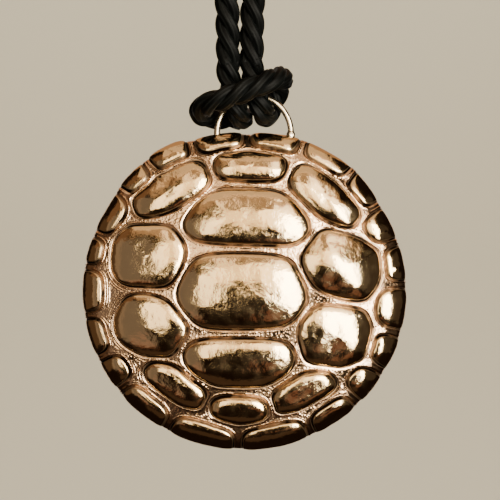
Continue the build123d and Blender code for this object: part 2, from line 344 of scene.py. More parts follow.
class CordSizes(bpy.types.PropertyGroup):
    """Sizes of the twisted cord."""

    diameter: length("Diameter", "Over the three strands", 4.4)
    fullness: length("Fullness", "How much fuller the hanging sides are", 0.3)
    press: length("Press", "How far each hanging side leans to the other", 0.09)
    strand_share: FloatProperty(
        name="Strand share", description="Strand's radius as a share of the cord's diameter",
        default=0.258, min=0.23, max=0.3, subtype="FACTOR")
    gap: length("Gap", "Between the sides that hang together", 0.1)
    taper: length("Taper", "Over which the knot's cord gets thinner", 4)
    knot_tighten: length("Tightening", "How much thinner the knot's cord is", 0.3)
    drop: length("Drop", "From the nape to the knot's top", 252)
    parallel: length("Parallel stretch", "Where both sides hang together", 24)
    sleeve_to_bend: length("Sleeve to bend", "Straight cord outside the sleeve", 7)
    end_gap: length("End gap", "Between the cord's ends in the sleeve", 1)
    lay: length("Lay", "Length of one turn of a strand", 12.75)
    yarn_lay: length("Yarn lay", "Length of one turn of a yarn in its strand", 15)
    yarns: IntProperty(name="Yarns", description="Yarns round a strand", default=7)
    yarn_depth: length("Yarn depth", "Depth of the grooves between yarns", 0.2)
    lap: length("Lap", "How far the hanging sides run on inside the knot's ends", 1)
    eye_above_bail: length("Eye height", "An eye between the hanging sides, above the bail's top", 4.2)


class Finishes(bpy.types.PropertyGroup):
    """Colours of the metal, the cord and the studio."""


COLOURS = [
    # property, name, description, sRGB
    ("gilt_plate", "Polished gilt", "Plates of the shell", "#EFD0A0"),
    ("gilt_band", "Matt gilt", "Bands between the plates", "#F0C9A2"),
    ("patina", "Patina", "Dark film in the grooves", "#140B06"),
    ("gilt_wire", "Wire", "Drawn wire of the bail", "#F0DFC0"),
    ("gilt_back", "Back", "Tumbled hollow side", "#CFA878"),
    ("yarn", "Yarn", "Dyed yarn of the cord", "#030404"),
    # The next grey is partly wear in random fibres and partly a painted highlight on the yarns' crests, with
    # painted shade left in the grooves.
    ("yarn_dust", "Yarn wear and painted crest highlight", "Grey of wear in the fibres and painted highlight on the yarn crests", "#151817"),
    ("wall", "Wall", "Painted studio wall and floor", "#CBC4AE"),
]


def linear(hex_colour):
    """An sRGB hex colour as linear RGBA."""
    parts = [int(hex_colour[i:i + 2], 16) / 255 for i in (1, 3, 5)]
    return (*[c / 12.92 if c <= 0.04045 else ((c + 0.055) / 1.055) ** 2.4 for c in parts], 1.0)


for prop, label, words, colour in COLOURS:
    Finishes.__annotations__[prop] = FloatVectorProperty(
        name=label, description=words, default=linear(colour), subtype="COLOR", size=4, min=0, max=1)


def settings(group):
    """The scene's sizes or colours of one kind."""
    return getattr(bpy.context.scene, "pendant_" + group)


class Dome:
    """The medallion's smooth form under the relief, unrolled from its apex."""

    def __init__(self, sizes):
        self.sizes = sizes
        self.half = sizes.width / 2
        self.ratio = sizes.height / sizes.width
        self.web_radius = self.half - sizes.rim_relief
        edge = (self.web_radius - sizes.rim_radius) / (1 - sizes.rim_radius / sizes.crown_radius)
        self.slope = math.asin(edge / sizes.crown_radius)
        self.rim_centre = edge - sizes.rim_radius * math.sin(self.slope)
        self.rim_depth = (sizes.crown_radius * (1 - math.cos(self.slope))
                          + sizes.rim_radius * math.cos(self.slope))
        self.crown_length = sizes.crown_radius * self.slope
        self.rim_end = self.crown_length + sizes.rim_radius * (math.pi / 2 - self.slope)
        self.length = self.rim_end + sizes.side_wall
        self.depth = self.rim_depth + sizes.side_wall
        bail = settings("bail")
        self.bail_x = math.sin(bail.lean) * self.web_radius
        self.centre = BAIL_TOP + Vector((-self.bail_x, bail.depth, -bail.radius - sizes.height / 2))

    def edge_level(self, x):
        """Height of the upper edge of the smooth form, at x from its centre."""
        return self.centre.z + math.sqrt(self.web_radius ** 2 - x ** 2) * self.ratio

    def run(self, radius):
        """Distance along the dome from the apex at a radius."""
        if radius < self.sizes.crown_radius * math.sin(self.slope):
            return self.sizes.crown_radius * math.asin(radius / self.sizes.crown_radius)
        angle = math.asin(min(1, (radius - self.rim_centre) / self.sizes.rim_radius))
        return self.crown_length + self.sizes.rim_radius * (angle - self.slope)

    def place(self, x, z, height):
        """Points in space and the dome's normals there, from points of the unrolled dome."""
        run = np.minimum(np.hypot(x, z), self.length)
        turn = np.arctan2(x, z)
        crown = run / self.sizes.crown_radius
        rim = self.slope + (run - self.crown_length) / self.sizes.rim_radius
        zones = [run < self.crown_length, run < self.rim_end]
        slope = np.select(zones, [crown, rim], math.pi / 2)
        radius = np.select(zones, [self.sizes.crown_radius * np.sin(crown),
                                   self.rim_centre + self.sizes.rim_radius * np.sin(rim)],
                           self.web_radius)
        depth = np.select(zones, [self.sizes.crown_radius * (1 - np.cos(crown)),
                                  self.rim_depth - self.sizes.rim_radius * np.cos(rim)],
                          self.rim_depth + run - self.rim_end)
        out = radius + height * np.sin(slope)
        front = self.depth - depth + height * np.cos(slope)
        points = np.column_stack((out * np.sin(turn), -front, out * np.cos(turn) * self.ratio))
        normals = np.column_stack((np.sin(slope) * np.sin(turn), -np.cos(slope),
                                   np.sin(slope) * np.cos(turn)))
        return points + np.array(self.centre), normals


def plate_outlines(dome):
    """Every plate on the unrolled dome: centre, half sizes, tilt, squareness, relief and taper."""
    sizes = dome.sizes
    share = dome.half / 100
    plates = []
    for _, x, z, half_length, half_breadth, tilt, squareness, taper in PLATES:
        out = math.hypot(x, z) * share
        stretch = dome.run(out) / out
        centre = (x * share * stretch, z * share * stretch)
        half = (half_length * share, half_breadth * share)
        plates.append((centre, half, math.radians(tilt), squareness, sizes.plate_relief, taper))
    start = RIM_PLATES[-1][0] - 360
    for end, inner, proud in RIM_PLATES:
        near = dome.run(inner * share)
        far = dome.length - sizes.back_band
        run = (near + far) / 2
        half = (math.radians((end - start) / 2) * run - sizes.web_width / 2, (far - near) / 2)
        plates.append(((math.radians((start + end) / 2), run), half, None, RIM_SQUARENESS, proud * MM, 0.0))
        start = end
    return plates


def distance_outside(plate, x, z):
    """How far points of the unrolled dome lie outside a plate's outline, negative inside it."""
    centre, half, tilt, power, _, taper = plate
    if tilt is None:
        turn = (np.arctan2(x, z) - centre[0] + math.pi) % (2 * math.pi) - math.pi
        along = turn * centre[1]
        across = np.hypot(x, z) - centre[1]
    else:
        dx, dz = x - centre[0], z - centre[1]
        along = dx * math.cos(tilt) + dz * math.sin(tilt)
        across = dz * math.cos(tilt) - dx * math.sin(tilt)
        farthest = 1.2
        along = along / (1 - taper * np.clip(across / half[1], -farthest, farthest))
    u, v = np.abs(along / half[0]), np.abs(across / half[1])
    level = np.maximum((u ** power + v ** power) ** (1 / power), 1e-6)
    grade = np.hypot(u ** (power - 1) / half[0], v ** (power - 1) / half[1])
    return (level - 1) * level ** (power - 1) / np.maximum(grade, 1e-6)


def inside_plate(dome, plates, x, z):
    """How far points lie inside their nearest plate's edge, and that plate's number."""
    sizes = dome.sizes
    outside = np.array([distance_outside(plate, x, z) for plate in plates])
    near = np.sort(np.partition(outside, 3, axis=0)[:4], axis=0)
    limits = (near - near[0]) / 2 - sizes.web_width / 2
    limits[0] = -near[0]
    least = limits.min(axis=0)
    soft = sizes.corner + sizes.corner_growth * np.maximum(least, 0)
    blend = np.exp((least - limits) / soft).sum(axis=0)
    return least - soft * np.log(blend), outside.argmin(axis=0)


def lumps(x, z, size, layer):
    """Smooth noise from -1 to 1 whose lumps are about size wide."""
    return np.array([noise.noise((a, layer, b)) for a, b in zip(x / size, z / size)])


def near_spots(spots, x, z):
    """From 0 to 1, how near points of the unrolled dome are to any of these spots."""
    share = np.zeros(len(x))
    for spot_x, spot_z, radius in spots:
        reach = np.hypot(x - spot_x * MM, z - spot_z * MM) / (radius * MM)
        share = np.maximum(share, np.exp(-reach ** 4))
    return share


def fade(value, start, reach):
    """From 0 at the start to 1 a reach further on."""
    return np.clip((value - start) / reach, 0, 1)


def softened(share):
    """A share from 0 to 1 with a soft start and end."""
    return share ** 2 * (3 - 2 * share)


def rim_swell(x, z):
    """How much of the rim's bulge there is in the directions of these points, from 0 to 1."""
    turn = np.degrees(np.arctan2(x, z))
    return sum(np.exp(-(((turn - middle + 180) % 360 - 180) / spread) ** 4) for middle, spread in RIM_SWELLS)


def raised_line(sizes, inside, lined, x, z):
    """Height of the fine line round a plate, uneven along its way."""
    usual, uneven = 0.65, 0.8
    line = np.exp(-((inside + sizes.line_offset) / sizes.line_width) ** 2)
    return sizes.line_height * line * lined * (usual + uneven * lumps(x, z, *LINE_LUMPS))


def band_grain(sizes, inside, x, z):
    """Height of the casting grain in the bands: most in their middle and in the grainy spots."""
    beside_plate, outside_spots = 0.35, 0.16
    in_middle = fade(-inside, 0.45 * MM, 0.5 * MM)
    share = (beside_plate + in_middle) * (outside_spots + near_spots(GRAINY_SPOTS, x, z))
    return sizes.web_grain * fade(-inside, 0, 0.12 * MM) * share * lumps(x, z, *GRAIN_LUMPS)


def plate_swellings(sizes, rise, less_proud, x, z):
    """Height of the soft swellings in the plates, deeper in those that are less proud than the large ones."""
    strength, deeper = 1.6, 1.25
    waves = sum(share * lumps(x, z, width, layer) for share, width, layer in WAVES)
    return sizes.plate_waves * strength * waves * rise * np.where(less_proud, deeper, 1)


def relief(dome, plates, x, z):
    """The casting's height over its smooth form, and two shares that the material needs.

    They are how far inside a plate's edge each point lies, and where the raised lines show.
    """
    sizes = dome.sizes
    inside, number = inside_plate(dome, plates, x, z)
    top = np.array([plate[4] for plate in plates])[number]
    half = np.array([min(plate[1]) for plate in plates])[number]
    level = np.array([plate[0][1] * (math.cos(plate[0][0]) if plate[2] is None else 1)
                      for plate in plates])[number]
    # Low on the medallion the raised lines are only above the plates, and the plates are flatter.
    lined = 1 - fade(level - z, 0, 2 * MM) * fade(-level, *LINES_END)
    shoulder = sizes.shoulder + (sizes.low_shoulder - sizes.shoulder) * fade(-level, *FLATTER_PLATES)
    rise = fade(inside, 0, shoulder * half)
    # Towards the rim the bands rise, up to the plates where the rim bulges.
    before_back = dome.length - np.hypot(x, z)
    at_rim = softened(fade(BANDS_RISE_FROM - before_back, 0, BANDS_RISE_OVER))
    swollen = rim_swell(x, z) * at_rim
    lift = sizes.rim_lift * at_rim + (sizes.rim_relief - sizes.rim_lift) * swollen
    height = lift + (top - lift) * np.sqrt(1 - (1 - rise) ** 2)
    height += sizes.rim_swell * swollen * softened(fade(before_back, 0, sizes.side_wall))
    groove = np.exp(-(inside / sizes.groove_width) ** 2)
    unlined_share = 0.3
    height -= sizes.groove_depth * (unlined_share + (1 - unlined_share) * lined) * groove
    height += raised_line(sizes, inside, lined, x, z)
    height += band_grain(sizes, inside, x, z)
    height += plate_swellings(sizes, rise, top < sizes.plate_relief, x, z)
    for flaw_x, flaw_z, radius, swell in FLAWS:
        reach = np.hypot(x - flaw_x * MM, z - flaw_z * MM) / (radius * MM)
        height += swell * MM * np.exp(-reach ** 2) * np.minimum(2.5 * rise, 1)
    return height * fade(before_back, 0, 0.5 * sizes.back_band), inside, lined


def ring_mesh(length, rings):
    """A disc of hexagonal rings of near-equal triangles: points of the unrolled dome, and corners."""
    points = [(0.0, 0.0)]
    for ring in range(1, rings + 1):
        for step in range(6 * ring):
            turn = 2 * math.pi * step / (6 * ring)
            out = length * ring / rings
            points.append((out * math.sin(turn), out * math.cos(turn)))
    first = [0] + [1 + 3 * ring * (ring - 1) for ring in range(1, rings + 1)]
    corners = []
    for ring in range(1, rings + 1):
        inner_count = max(6 * (ring - 1), 1)
        for side in range(6):
            for step in range(ring):
                outer = first[ring] + (side * ring + step) % (6 * ring)
                after = first[ring] + (side * ring + step + 1) % (6 * ring)
                inner = first[ring - 1] + (side * (ring - 1) + step) % inner_count
                corners.append((outer, inner, after))
                if step < ring - 1:
                    beside = first[ring - 1] + (side * (ring - 1) + step + 1) % inner_count
                    corners.append((inner, beside, after))
    return np.array(points), corners


def split(corners, middles):
    """The triangles that replace one whose marked edges have these middle points."""
    marked = sum(middle is not None for middle in middles)
    if marked == 0:
        return [corners]
    while middles[0] is None or (marked == 2 and middles[1] is None):
        corners = corners[1:] + corners[:1]
        middles = middles[1:] + middles[:1]
    (a, b, c), (ab, bc, ca) = corners, middles
    if marked == 1:
        return [(a, ab, c), (ab, b, c)]
    if marked == 2:
        return [(ab, b, bc), (a, ab, bc), (a, bc, c)]
    return [(a, ab, ca), (ab, b, bc), (ca, bc, c), (ab, bc, ca)]


def refine(points, corners, wanted):
    """Halves every edge whose middle is wanted, and splits the triangles along it."""
    pairs = np.sort(np.array([(t[i], t[(i + 1) % 3]) for t in corners for i in range(3)]), axis=1)
    edges, place = np.unique(pairs, axis=0, return_inverse=True)
    place = place.reshape(-1, 3)
    middles = points[edges].mean(axis=1)
    marked = wanted(middles[:, 0], middles[:, 1])
    number = np.where(marked, len(points) + np.cumsum(marked) - 1, -1)
    made = []
    for triangle, sides in zip(corners, place):
        found = tuple(int(number[side]) if number[side] >= 0 else None for side in sides)
        made += split(triangle, found)
    return np.vstack((points, middles[marked])), made


def onto_edges(dome, plates, points, reach):
    """Moves points that are close to a plate's edge onto it, so that the grooves run clean."""
    step = 0.01 * MM
    x, z = points[:, 0], points[:, 1]
    inside = inside_plate(dome, plates, x, z)[0]
    grade_x = (inside_plate(dome, plates, x + step, z)[0] - inside) / step
    grade_z = (inside_plate(dome, plates, x, z + step)[0] - inside) / step
    least_steep = 0.25
    steep = np.maximum(grade_x ** 2 + grade_z ** 2, least_steep)
    move = np.where((np.abs(inside) < reach) & (np.hypot(x, z) < dome.length - 3 * reach), inside, 0)
    return points - np.column_stack((move * grade_x / steep, move * grade_z / steep))


def mesh_object(name, points, faces, material, flat=()):
    """A smooth mesh object; the faces numbered in flat stay flat."""
    mesh = bpy.data.meshes.new(name)
    mesh.from_pydata([tuple(p) for p in points], [], faces)
    smooth = np.ones(len(faces), bool)
    smooth[list(flat)] = False
    mesh.polygons.foreach_set("use_smooth", smooth)
    mesh.materials.append(material)
    mesh.update()
    piece = bpy.data.objects.new(name, mesh)
    bpy.context.scene.collection.objects.link(piece)
    return piece


def point_attribute(mesh, name, values):
    """Gives each point of a mesh a number or a vector that its material reads."""
    values = np.array(values, np.float32)
    kind, field = ("FLOAT_VECTOR", "vector") if values.ndim == 2 else ("FLOAT", "value")
    mesh.attributes.new(name, kind, "POINT").data.foreach_set(field, values.reshape(-1))


def between_rings(first, rings, around):
    """The quads that join rings of points, which are numbered ring after ring from the first point."""
    faces = []
    for ring in range(rings - 1):
        for step in range(around):
            a = first + ring * around + step
            b = first + ring * around + (step + 1) % around
            faces.append((a, b, b + around, a + around))
    return faces


def front_normals(dome, plates, points):
    """Normals of the relief, from the slope of its height."""
    step = 0.02 * MM
    x, z = points[:, 0], points[:, 1]
    outward = dome.place(x, z, np.zeros(len(x)))[1]

    def surface(dx, dz):
        return dome.place(x + dx, z + dz, relief(dome, plates, x + dx, z + dz)[0])[0]

    normals = np.cross(surface(step, 0) - surface(-step, 0), surface(0, step) - surface(0, -step))
    normals *= np.sign((normals * outward).sum(axis=1))[:, None]
    return normals / np.maximum(np.linalg.norm(normals, axis=1), 1e-12)[:, None]


def hollow_points(dome, edge):
    """Points of the hollow side, ring after ring from behind the casting's edge, and then its apex."""
    sizes = dome.sizes
    crowding, roughness = 1.5, 0.05 * MM
    rings = []
    for ring in range(sizes.back_rings):
        inward = edge * (1 - (ring / sizes.back_rings) ** crowding)
        x, z = inward[:, 0], inward[:, 1]
        rough = roughness * lumps(x, z, *HOLLOW_LUMPS) * (ring > 0)
        rings.append(dome.place(x, z, rough - sizes.cast_wall)[0])
    apex = dome.place(np.zeros(1), np.zeros(1), np.full(1, -sizes.cast_wall))[0]
    return np.vstack([*rings, apex])


def cast_medallion():
    """The hollow casting: relief in front, flat edge, smooth hollow behind."""
    sizes = settings("medallion")
    dome = Dome(sizes)
    plates = plate_outlines(dome)

    def near_edge(low, high):
        def wanted(x, z):
            inside = inside_plate(dome, plates, x, z)[0]
            return (inside > low) & (inside < high) & (np.hypot(x, z) < dome.length - 0.6 * sizes.back_band)
        return wanted

    flat, corners = ring_mesh(dome.length, sizes.rings)
    boundary = list(range(len(flat) - 6 * sizes.rings, len(flat)))
    for low, high in REFINED:
        flat, corners = refine(flat, corners, near_edge(low * MM, high * MM))
    flat = onto_edges(dome, plates, flat, EDGE_SNAP)
    x, z = flat[:, 0], flat[:, 1]
    height, inside, lined = relief(dome, plates, x, z)
    front, _ = dome.place(x, z, height)
    normals = front_normals(dome, plates, flat)
    hollow = hollow_points(dome, flat[boundary])

    first, count = len(front), len(boundary)
    last = first + len(hollow) - 1
    inner = last - count
    faces = corners + between_rings(first, sizes.back_rings, count)
    faces += [(inner + step, inner + (step + 1) % count, last) for step in range(count)]
    rim_from = len(faces)
    faces += [(boundary[step], boundary[(step + 1) % count], first + (step + 1) % count, first + step)
              for step in range(count)]

    piece = mesh_object("medallion_casting", np.vstack([front, hollow]), faces, gilt_casting(),
                        range(rim_from, len(faces)))
    mesh = piece.data
    mesh.materials.append(tumbled_brass())
    slots = np.zeros(len(faces), np.int32)
    slots[len(corners):] = 1
    mesh.polygons.foreach_set("material_index", slots)
    for name, in_front, behind in (("plate_edge", inside / MM, FAR_OUTSIDE),
                                   ("grainy", near_spots(GRAINY_SPOTS, x, z), 0),
                                   ("ridged", near_spots(RIDGED_SPOTS, x, z) * lined, 0)):
        point_attribute(mesh, name, np.append(in_front, np.full(len(hollow), behind)))
    loops = np.zeros((len(mesh.loops), 3), np.float32)
    loops[:3 * len(corners)] = normals[np.array(corners).reshape(-1)]
    mesh.normals_split_custom_set(loops.tolist())
    return piece


def evenly(line, step):
    """Points at an even step along a line of points, and their distances along it."""
    line = np.array(line)
    lengths = np.concatenate(([0], np.cumsum(np.linalg.norm(np.diff(line, axis=0), axis=1))))
    count = max(int(round(lengths[-1] / step)), 2)
    along = np.linspace(0, lengths[-1], count + 1)
    return np.column_stack([np.interp(along, lengths, line[:, i]) for i in range(3)]), along


def directions(line):
    """Unit tangents along a line of points."""
    tangents = np.gradient(line, axis=0, edge_order=2)
    return tangents / np.linalg.norm(tangents, axis=1)[:, None]


def carried(line, start):
    """A direction square to the line, carried along it without twisting."""
    tangents = directions(line)
    sides = []
    side = np.array(start, float)
    for tangent in tangents:
        side = side - tangent * side.dot(tangent)
        side /= np.linalg.norm(side)
        sides.append(side)
    return tangents, np.array(sides)


def end_faces(faces):
    """The numbers of the triangles that close a tube's ends."""
    return [number for number, face in enumerate(faces) if len(face) == 3]


def tube_faces(rings, around, first=0):
    """Quads round a tube of rings of points, with triangles over its ends; the two end points come last."""
    faces = between_rings(first, rings, around)
    start, end = first + rings * around, first + rings * around + 1
    last = first + (rings - 1) * around
    faces += [(start, first + (step + 1) % around, first + step) for step in range(around)]
    faces += [(end, last + step, last + (step + 1) % around) for step in range(around)]
    return faces


def smooth_route(name, points):
    """Points read from the NURBS curve that a route's points control."""
    curve = bpy.data.curves.new(name, "CURVE")
    curve.dimensions = "3D"
    curve.resolution_u = 32
    spline = curve.splines.new("NURBS")
    spline.points.add(len(points) - 1)
    for control, point in zip(spline.points, points):
        control.co = (*point, 1)
    spline.order_u = 3
    spline.use_endpoint_u = True
    holder = bpy.data.objects.new(name, curve)
    mesh = bpy.data.meshes.new_from_object(holder)
    line = [tuple(v.co) for v in mesh.vertices]
    bpy.data.objects.remove(holder)
    bpy.data.curves.remove(curve)
    bpy.data.meshes.remove(mesh)
    return line


def twisted_cord(name, line, step, phase, untwist=0.0, tighten=0.0):
    """A three-strand left-laid cord along a line.

    untwist is an angle that it gains from end to end, and tighten how much thinner it is away from its ends.
    """
    cord = settings("cord")
    line, along = evenly(line, step)
    tangents, side = carried(line, (1, 0, 0))
    other = np.cross(tangents, side)
    from_end = np.minimum(along, along[-1] - along)
    diameter = cord.diameter + cord.fullness - tighten * fade(from_end, 0, cord.taper)
    grooves = cord.yarn_depth * fade(from_end, 0, cord.lap)
    strands = diameter * cord.strand_share - END_TUCK * (1 - fade(from_end, 0, 0.5 * cord.lap))
    helix = (diameter / 2 - diameter * cord.strand_share)[:, None]
    around = 4 * cord.yarns
    points, faces, straight, crests = [], [], [], []
    for number in range(3):
        angle = phase + 2 * math.pi * (number / 3 - along / cord.lay) + untwist * along / along[-1]
        radial = np.cos(angle)[:, None] * side + np.sin(angle)[:, None] * other
        centre = line + helix * radial
        heading = directions(centre)
        across = np.cross(heading, radial)
        across /= np.linalg.norm(across, axis=1)[:, None]
        out = np.cross(across, heading)
        first = len(points)
        for ring, strand in enumerate(strands):
            for j in range(around):
                own = 2 * math.pi * j / around
                turn = own + 2 * math.pi * along[ring] / cord.yarn_lay
                crest = abs(math.cos(cord.yarns * own / 2))
                radius = strand - grooves[ring] * (1 - crest)
                crests.append(crest)
                way = math.cos(turn) * out[ring] + math.sin(turn) * across[ring]
                points.append(centre[ring] + radius * way)
                straight.append((strand * math.cos(own), strand * math.sin(own), along[ring] + number))
        faces += tube_faces(len(line), around, first)
        points += [centre[0], centre[-1]]
        straight += [(0, 0, number), (0, 0, along[-1] + number)]
        crests += [0, 0]
    piece = mesh_object(name, points, faces, twisted_yarn(), end_faces(faces))
    point_attribute(piece.data, "straight_strand", straight)
    # The crest share lets the yarn's material paint a highlight on the crests and painted shade in the
    # grooves between yarns.
    point_attribute(piece.data, "yarn_crest", crests)
    return piece


def neck_route(side):
    """The points of one side of the neck cord, from the knot up to the sleeve; side is -1 for left."""
    cord = settings("cord")
    low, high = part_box("nape_sleeve")
    share = cord.drop / 100
    beside = (cord.diameter + cord.gap) / 2 - cord.press
    level = (low.z + high.z) / 2
    points = [(side * beside, 0, -cord.drop - cord.lap), (side * beside, 0, -cord.drop + cord.parallel)]
    points += [(side * x * share, 0, z * share) for x, z in reversed(NECK_ROUTE)]
    points += [(side * (high.x + cord.sleeve_to_bend), 0, level), (side * cord.end_gap / 2, 0, level)]
    return points


def knot_route():
    """The points of the cord's way through the knot; both its ends lean together."""
    cord = settings("cord")
    pitch = cord.diameter + cord.gap
    points = [Vector((x * pitch, BAIL_TOP.y + y * pitch, BAIL_TOP.z + z * pitch)) for x, y, z in KNOT_ROUTE]
    for point in points[:2]:
        point.x += cord.press
    for point in points[-2:]:
        point.x -= cord.press
    return points


def eye_phase(facing, z):
    """Angle of a strand at height z, so that the eyes between the hanging sides fall where they do."""
    cord = settings("cord")
    eye = BAIL_TOP.z + cord.eye_above_bail
    return facing + math.pi / 3 - 2 * math.pi * (z - eye) / cord.lay


def gilt_bail():
    """The half ring of wire with its legs, flared a little where they are soldered."""
    bail = settings("bail")
    dome = Dome(settings("medallion"))
    top = dome.centre.z + dome.sizes.height / 2
    y = BAIL_TOP.y
    feet = [dome.edge_level(dome.bail_x + s * bail.radius) - bail.root for s in (-1, 1)]
    steps, around, ring_step = 64, 24, 0.12 * MM
    line = [(BAIL_TOP.x - bail.radius, y, feet[0])]
    for step in range(steps + 1):
        turn = math.pi * (1 - step / steps)
        line.append((BAIL_TOP.x + bail.radius * math.cos(turn), y, top + bail.radius * math.sin(turn)))
    line.append((BAIL_TOP.x + bail.radius, y, feet[1]))
    line, along = evenly(line, ring_step)
    tangents, side = carried(line, (1, 0, 0))
    other = np.cross(tangents, side)
    foot = np.minimum(along, along[-1] - along)
    flare, flare_reach = 0.55, 0.35 * MM
    radius = bail.wire / 2 * (1 + flare * np.exp(-np.maximum(foot - bail.root, 0) / flare_reach))
    dent_depth, dent_size = 0.05, 1.2 * MM
    points = []
    for ring, centre in enumerate(line):
        for j in range(around):
            turn = 2 * math.pi * j / around
            dent = 1 + dent_depth * noise.noise((centre[0] / dent_size, turn, centre[2] / dent_size))
            way = math.cos(turn) * side[ring] + math.sin(turn) * other[ring]
            points.append(centre + radius[ring] * dent * way)
    faces = tube_faces(len(line), around)
    points += [line[0], line[-1]]
    return mesh_object("bail_wire", points, faces, drawn_wire(), end_faces(faces))


def solder_drop():
    """The uneven drop of solder at the foot of the bail's right leg."""
    bail = settings("bail")
    dome = Dome(settings("medallion"))
    raised = 0.93 * bail.bead
    unevenness, lump_size = 0.14, 0.45 * MM
    right = BAIL_TOP.x + bail.radius
    centre = Vector((right, BAIL_TOP.y, dome.edge_level(right - dome.centre.x) + raised))
    drop = bmesh.new()
    bmesh.ops.create_icosphere(drop, subdivisions=4, radius=bail.bead / 2)
    for vertex in drop.verts:
        swell = 1 + unevenness * noise.noise(vertex.co / lump_size)
        vertex.co = centre + Vector((vertex.co.x, vertex.co.y, vertex.co.z * bail.bead_stretch)) * swell
    mesh = bpy.data.meshes.new("solder_drop")
    drop.to_mesh(mesh)
    drop.free()
    mesh.polygons.foreach_set("use_smooth", [True] * len(mesh.polygons))
    mesh.materials.append(drawn_wire())
    piece = bpy.data.objects.new("solder_drop", mesh)
    bpy.context.scene.collection.objects.link(piece)
    return piece


def per(millimetres):
    """The scale that makes a pattern's lumps about this wide."""
    return 1 / (millimetres * MM)


def fill(tree, node, values):
    """Gives a node its settings and inputs; an input is linked to an output, or to a node's first one."""
    for name, value in values.items():
        if isinstance(value, bpy.types.Node):
            value = value.outputs[0]
        if isinstance(value, bpy.types.NodeSocket):
            tree.links.new(value, node.inputs[name])
        elif isinstance(name, str) and hasattr(node, name):
            setattr(node, name, value)
        else:
            node.inputs[name].default_value = value


def add_node(tree, kind, values):
    """Adds a node with its settings and links."""
    node = tree.nodes.new("ShaderNode" + kind)
    fill(tree, node, values)
    return node


def new_material(name, values):
    """A node material with its shader's own settings; returns it, its tree and its shader."""
    material = bpy.data.materials.new(name)
    material.use_nodes = True
    tree = material.node_tree
    shader = tree.nodes["Principled BSDF"]
    fill(tree, shader, values)
    return material, tree, shader


